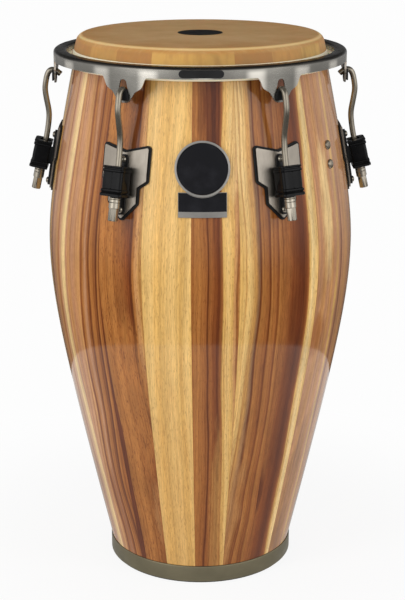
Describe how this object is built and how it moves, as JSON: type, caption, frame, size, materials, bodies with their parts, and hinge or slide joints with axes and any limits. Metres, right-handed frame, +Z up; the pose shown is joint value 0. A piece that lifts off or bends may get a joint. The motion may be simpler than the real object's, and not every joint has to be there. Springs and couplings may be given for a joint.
{
  "type": "conga",
  "caption": "Tall barrel drum of glued wooden staves with a rawhide head, hooked tension rim, tuning lugs on shaped side plates and a metal foot ring.",
  "frame": {"origin": "middle of the foot, on the floor", "axes": "+Z up; the badge faces -Y; azimuths grow from -Y towards +X"},
  "size_m": [0.4754, 0.4248, 0.762],
  "materials": {
    "lacquered_wood": "clear gloss lacquer",
    "antique_metal": "antique satin",
    "black_rubber": "moulded, matt",
    "rawhide": "natural rawhide, translucent",
    "plate_metal": "satin",
    "black_metal": "black, semi-gloss",
    "bright_steel": "polished nickel plating",
    "black_enamel": "black enamel",
    "bezel_metal": "satin nickel",
    "satin_nickel": "dark satin nickel",
    "black_plastic": "matt"
  },
  "bodies": {
    "shell": {"shell": "lacquered_wood", "base_ring": "antique_metal", "foot_cushion": "black_rubber", "drum_head": "rawhide", "side_plate_1": "plate_metal", "side_plate_2": "plate_metal", "side_plate_3": "plate_metal", "side_plate_4": "plate_metal", "side_plate_5": "plate_metal", "side_plate_6": "plate_metal", "plate_gasket_1": "black_rubber", "plate_gasket_2": "black_rubber", "plate_gasket_3": "black_rubber", "plate_gasket_4": "black_rubber", "plate_gasket_5": "black_rubber", "plate_gasket_6": "black_rubber", "lug_bracket_1": "black_metal", "lug_bracket_2": "black_metal", "lug_bracket_3": "black_metal", "lug_bracket_4": "black_metal", "lug_bracket_5": "black_metal", "lug_bracket_6": "black_metal", "receiver_jacket_1": "black_rubber", "receiver_jacket_2": "black_rubber", "receiver_jacket_3": "black_rubber", "receiver_jacket_4": "black_rubber", "receiver_jacket_5": "black_rubber", "receiver_jacket_6": "black_rubber", "nut_washer_1": "bright_steel", "nut_washer_2": "bright_steel", "nut_washer_3": "bright_steel", "nut_washer_4": "bright_steel", "nut_washer_5": "bright_steel", "nut_washer_6": "bright_steel", "side_bolt_1": "bright_steel", "side_bolt_2": "bright_steel", "badge_disc": "black_enamel", "badge_bezel": "bezel_metal", "name_plate": "black_enamel"},
    "rim": {"tension_rim": "satin_nickel", "flesh_hoop": "bright_steel", "head_tuck": "rawhide", "ear_insert_1": "black_plastic", "ear_insert_2": "black_plastic", "ear_insert_3": "black_plastic", "ear_insert_4": "black_plastic", "ear_insert_5": "black_plastic", "ear_insert_6": "black_plastic"},
    "hook_1": {"tuning_hook_1": "bright_steel"},
    "hook_2": {"tuning_hook_2": "bright_steel"},
    "hook_3": {"tuning_hook_3": "bright_steel"},
    "hook_4": {"tuning_hook_4": "bright_steel"},
    "hook_5": {"tuning_hook_5": "bright_steel"},
    "hook_6": {"tuning_hook_6": "bright_steel"},
    "nut_1": {"tuning_nut_1": "bright_steel"},
    "nut_2": {"tuning_nut_2": "bright_steel"},
    "nut_3": {"tuning_nut_3": "bright_steel"},
    "nut_4": {"tuning_nut_4": "bright_steel"},
    "nut_5": {"tuning_nut_5": "bright_steel"},
    "nut_6": {"tuning_nut_6": "bright_steel"}
  },
  "joints": [
    {"name": "rim_slide", "type": "slide", "parent": "shell", "child": "rim", "axis": [0, 0, 1], "range_m": [-0.005, 0.006]},
    {"name": "hook_1_slide", "type": "slide", "parent": "shell", "child": "hook_1", "axis": [-0.1125, 0.1948, 0.9744], "range_m": [-0.00513, 0.00616]},
    {"name": "hook_2_slide", "type": "slide", "parent": "shell", "child": "hook_2", "axis": [-0.225, 0, 0.9744], "range_m": [-0.00513, 0.00616]},
    {"name": "hook_3_slide", "type": "slide", "parent": "shell", "child": "hook_3", "axis": [-0.1125, -0.1948, 0.9744], "range_m": [-0.00513, 0.00616]},
    {"name": "hook_4_slide", "type": "slide", "parent": "shell", "child": "hook_4", "axis": [0.1125, -0.1948, 0.9744], "range_m": [-0.00513, 0.00616]},
    {"name": "hook_5_slide", "type": "slide", "parent": "shell", "child": "hook_5", "axis": [0.225, 0, 0.9744], "range_m": [-0.00513, 0.00616]},
    {"name": "hook_6_slide", "type": "slide", "parent": "shell", "child": "hook_6", "axis": [0.1125, 0.1948, 0.9744], "range_m": [-0.00513, 0.00616]},
    {"name": "nut_1_turn", "type": "hinge", "parent": "shell", "child": "nut_1", "pos_m": [0.1119, -0.19381, 0.57353], "axis": [-0.1125, 0.1948, 0.9744], "range_deg": [-1572, 1311]},
    {"name": "nut_2_turn", "type": "hinge", "parent": "shell", "child": "nut_2", "pos_m": [0.22379, 0, 0.57353], "axis": [-0.225, 0, 0.9744], "range_deg": [-1572, 1311]},
    {"name": "nut_3_turn", "type": "hinge", "parent": "shell", "child": "nut_3", "pos_m": [0.1119, 0.19381, 0.57353], "axis": [-0.1125, -0.1948, 0.9744], "range_deg": [-1572, 1311]},
    {"name": "nut_4_turn", "type": "hinge", "parent": "shell", "child": "nut_4", "pos_m": [-0.1119, 0.19381, 0.57353], "axis": [0.1125, -0.1948, 0.9744], "range_deg": [-1572, 1311]},
    {"name": "nut_5_turn", "type": "hinge", "parent": "shell", "child": "nut_5", "pos_m": [-0.22379, 0, 0.57353], "axis": [0.225, 0, 0.9744], "range_deg": [-1572, 1311]},
    {"name": "nut_6_turn", "type": "hinge", "parent": "shell", "child": "nut_6", "pos_m": [-0.1119, -0.19381, 0.57353], "axis": [0.1125, 0.1948, 0.9744], "range_deg": [-1572, 1311]}
  ],
  "couplings": [
    {"joint": "hook_1_slide", "follows": "rim_slide", "ratio": 1.0263},
    {"joint": "hook_2_slide", "follows": "rim_slide", "ratio": 1.0263},
    {"joint": "hook_3_slide", "follows": "rim_slide", "ratio": 1.0263},
    {"joint": "hook_4_slide", "follows": "rim_slide", "ratio": 1.0263},
    {"joint": "hook_5_slide", "follows": "rim_slide", "ratio": 1.0263},
    {"joint": "hook_6_slide", "follows": "rim_slide", "ratio": 1.0263},
    {"joint": "nut_1_turn", "follows": "rim_slide", "rad_per_m": -4569.8},
    {"joint": "nut_2_turn", "follows": "rim_slide", "rad_per_m": -4569.8},
    {"joint": "nut_3_turn", "follows": "rim_slide", "rad_per_m": -4569.8},
    {"joint": "nut_4_turn", "follows": "rim_slide", "rad_per_m": -4569.8},
    {"joint": "nut_5_turn", "follows": "rim_slide", "rad_per_m": -4569.8},
    {"joint": "nut_6_turn", "follows": "rim_slide", "rad_per_m": -4569.8}
  ]
}
